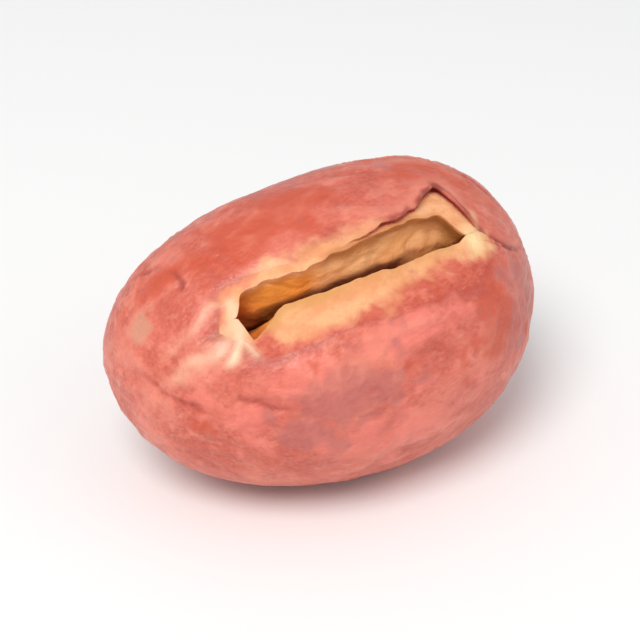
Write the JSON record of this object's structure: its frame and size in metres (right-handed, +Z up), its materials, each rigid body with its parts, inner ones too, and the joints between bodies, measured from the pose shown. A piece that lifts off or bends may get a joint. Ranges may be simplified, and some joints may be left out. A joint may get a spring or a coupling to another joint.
{
  "type": "dried kidney bean",
  "caption": "Dried red kidney bean, curved and wrinkled, with its seed coat torn open along the back and pale flesh showing in the groove.",
  "frame": {"origin": "on the surface that the bean rests on, below the middle of its bounding box", "axes": "+X along the bean towards its fatter end, -Y the side that the torn back faces, +Z up"},
  "size_m": [0.017, 0.0108, 0.0103],
  "materials": {
    "red_seed_coat": "thin dried skin, finely wrinkled, satin",
    "cream_seed_flesh": "dry, mealy, matt"
  },
  "bodies": {
    "root": {"seed_coat": "red_seed_coat", "seed_half_back": "cream_seed_flesh", "seed_half_front": "cream_seed_flesh"}
  },
  "joints": []
}
